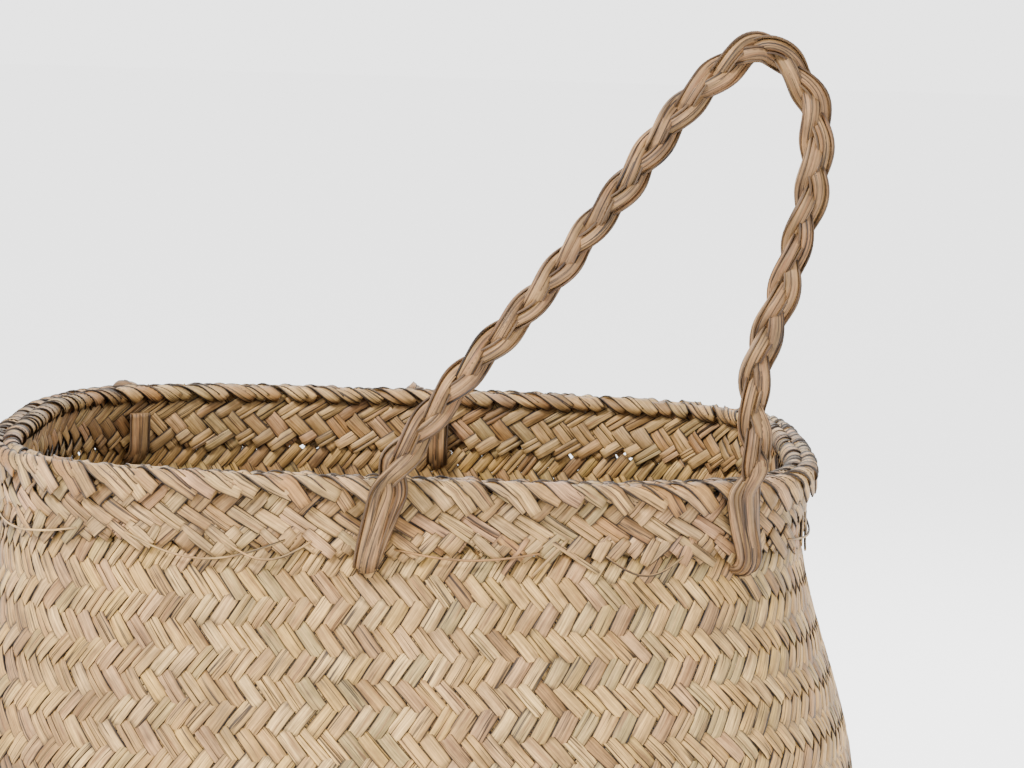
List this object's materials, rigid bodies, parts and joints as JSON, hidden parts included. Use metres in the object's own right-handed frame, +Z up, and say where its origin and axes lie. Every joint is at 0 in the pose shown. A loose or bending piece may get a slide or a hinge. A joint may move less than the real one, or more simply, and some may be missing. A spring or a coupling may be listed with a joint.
{
  "type": "seagrass storage basket",
  "caption": "Plaited seagrass belly basket with a coarse folded collar, twisted rim edges and swinging plaited handles.",
  "frame": {"origin": "centre of the flat base, on the surface it stands on", "axes": "+Z up through the mouth, -Y to the front, where the upright handle is, +X to the right seen from the front"},
  "size_m": [0.416, 0.4677, 0.5268],
  "materials": {
    "seagrass_body": "dry fibrous leaf, matte",
    "seagrass_collar": "dry fibrous leaf, matte, a little darker",
    "seagrass_handle": "dry fibrous leaf, slight sheen on the ribs"
  },
  "bodies": {
    "basket": {"base_mat": "seagrass_body", "belly_wall": "seagrass_body", "collar_inner_band": "seagrass_collar", "collar_outer_band": "seagrass_collar", "rim_inner_twist": "seagrass_collar", "rim_outer_twist": "seagrass_collar", "collar_strip_ends": "seagrass_collar", "front_handle_left_tie_a": "seagrass_handle", "front_handle_left_tie_b": "seagrass_handle", "front_handle_right_tie_a": "seagrass_handle", "front_handle_right_tie_b": "seagrass_handle", "rear_handle_left_tie_a": "seagrass_handle", "rear_handle_left_tie_b": "seagrass_handle", "rear_handle_right_tie_a": "seagrass_handle", "rear_handle_right_tie_b": "seagrass_handle"},
    "front_handle": {"front_handle_strand_a": "seagrass_handle", "front_handle_strand_b": "seagrass_handle", "front_handle_strand_c": "seagrass_handle"},
    "rear_handle": {"rear_handle_strand_a": "seagrass_handle", "rear_handle_strand_b": "seagrass_handle", "rear_handle_strand_c": "seagrass_handle"}
  },
  "joints": [
    {"name": "front_handle_swing", "type": "hinge", "parent": "basket", "child": "front_handle", "pos_m": [-0.00314, -0.1923, 0.3435], "axis": [0.9834, 0.1813, 0], "range_deg": [-75, 150]},
    {"name": "rear_handle_swing", "type": "hinge", "parent": "basket", "child": "rear_handle", "pos_m": [0.00314, 0.1923, 0.3435], "axis": [0.9834, 0.1813, 0], "range_deg": [0, 225]}
  ]
}
